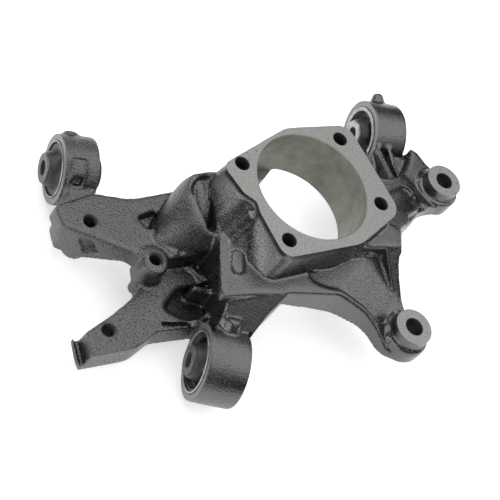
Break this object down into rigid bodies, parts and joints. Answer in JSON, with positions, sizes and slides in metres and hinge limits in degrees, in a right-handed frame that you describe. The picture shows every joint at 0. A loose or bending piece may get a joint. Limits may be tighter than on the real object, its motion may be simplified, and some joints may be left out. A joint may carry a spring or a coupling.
{
  "type": "steering knuckle",
  "caption": "Cast rear axle knuckle with a square hub flange and bore, caliper bosses on a web, a fork for the trailing arm and bonded rubber bushings.",
  "frame": {"origin": "centre of the hub bore on the machined flange face", "axes": "+Z along the hub axis, out of the flange face; +X parallel to the left and upper bushings' bolts, away from the side their numbered faces look to"},
  "size_m": [0.33, 0.2655, 0.0903],
  "materials": {
    "painted_cast_iron": "semi-gloss black paint on a sand-cast skin, bare where machined",
    "sleeve_steel": "plain turned steel",
    "bushing_rubber": "moulded, dull"
  },
  "bodies": {
    "root": {"knuckle_casting": "painted_cast_iron", "lower_outer_sleeve": "sleeve_steel", "lower_rubber": "bushing_rubber", "lower_inner_sleeve": "sleeve_steel", "left_outer_sleeve": "sleeve_steel", "left_rubber": "bushing_rubber", "left_inner_sleeve": "sleeve_steel", "upper_outer_sleeve": "sleeve_steel", "upper_rubber": "bushing_rubber", "upper_inner_sleeve": "sleeve_steel"}
  },
  "joints": []
}
